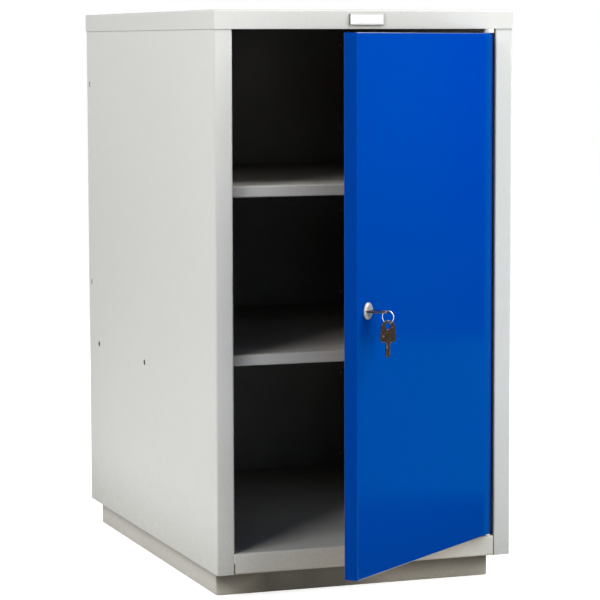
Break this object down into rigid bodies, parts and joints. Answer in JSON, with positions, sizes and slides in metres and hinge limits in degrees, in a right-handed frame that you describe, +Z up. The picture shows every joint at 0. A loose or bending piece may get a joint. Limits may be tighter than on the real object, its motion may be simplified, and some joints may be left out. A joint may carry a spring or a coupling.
{
  "type": "workbench pedestal cupboard",
  "caption": "Steel pedestal cupboard for a workbench: folded grey carcass on a recessed plinth, shelves inside and a blue hinged door with a cam lock and hanging keys.",
  "frame": {"origin": "centre of the carcass on the floor plane", "axes": "+X across to the hinge side, +Y from the door to the back, +Z up"},
  "size_m": [0.455, 0.9359, 0.836],
  "materials": {
    "carcass_paint": "semi-gloss light grey powder coat with fine orange peel",
    "door_paint": "glossy bright blue powder coat",
    "zinc_plate": "bright zinc plate",
    "nickel": "nickel-plated die casting",
    "plug_brass": "plated brass plug",
    "key_nickel": "worn nickel plate",
    "key_dark": "dark burnished steel",
    "ring_steel": "bright steel wire",
    "white_nylon": "moulded white nylon",
    "black_rubber": "soft black rubber",
    "plate_white": "white plate with a dark grey border"
  },
  "bodies": {
    "cabinet": {"top_cap": "carcass_paint", "left_side_panel": "carcass_paint", "right_side_panel": "carcass_paint", "back_panel": "carcass_paint", "back_rivets": "zinc_plate", "floor_panel": "carcass_paint", "plinth_frame": "carcass_paint", "plinth_screws": "zinc_plate", "top_front_rail": "carcass_paint", "upper_shelf": "carcass_paint", "lower_shelf": "carcass_paint", "upper_shelf_stiffener": "carcass_paint", "lower_shelf_stiffener": "carcass_paint", "upper_left_bearer": "carcass_paint", "upper_right_bearer": "carcass_paint", "lower_left_bearer": "carcass_paint", "lower_right_bearer": "carcass_paint", "top_hinge_plate": "zinc_plate", "hinge_plate_screws": "zinc_plate", "top_hinge_bush": "white_nylon", "bottom_hinge_plate": "zinc_plate", "bottom_hinge_bush": "white_nylon", "door_buffers": "black_rubber", "name_plate": "plate_white"},
    "door": {"door_skin": "door_paint", "door_stiffener": "door_paint", "top_hinge_pin": "zinc_plate", "bottom_hinge_pin": "zinc_plate", "lock_housing": "nickel", "lock_nut": "zinc_plate"},
    "lock_core": {"lock_plug": "plug_brass", "lock_cam": "zinc_plate", "cam_washer": "zinc_plate", "cam_screw": "zinc_plate"},
    "first_key": {"key": "key_nickel"},
    "ring": {"key_ring": "ring_steel"},
    "second_key": {"spare_key": "key_dark"}
  },
  "joints": [
    {"name": "door_hinge", "type": "hinge", "parent": "cabinet", "child": "door", "pos_m": [0.1915, -0.3343, 0.437], "axis": [0, 0, 1], "range_deg": [-39, 76]},
    {"name": "lock_turn", "type": "hinge", "parent": "door", "child": "lock_core", "pos_m": [-0.08583, -0.56467, 0.433], "axis": [0.6293, -0.7771, 0], "range_deg": [0, 90]},
    {"name": "key_withdraw", "type": "slide", "parent": "lock_core", "child": "first_key", "axis": [0.6293, -0.7771, 0], "range_m": [0, 0.03]},
    {"name": "ring_swing", "type": "hinge", "parent": "first_key", "child": "ring", "pos_m": [-0.06645, -0.5886, 0.435], "axis": [0.6293, -0.7771, 0], "range_deg": [-40, 40]},
    {"name": "spare_key_swing", "type": "hinge", "parent": "ring", "child": "second_key", "pos_m": [-0.06645, -0.5886, 0.418], "axis": [0.6293, -0.7771, 0], "range_deg": [-45, 45]}
  ]
}
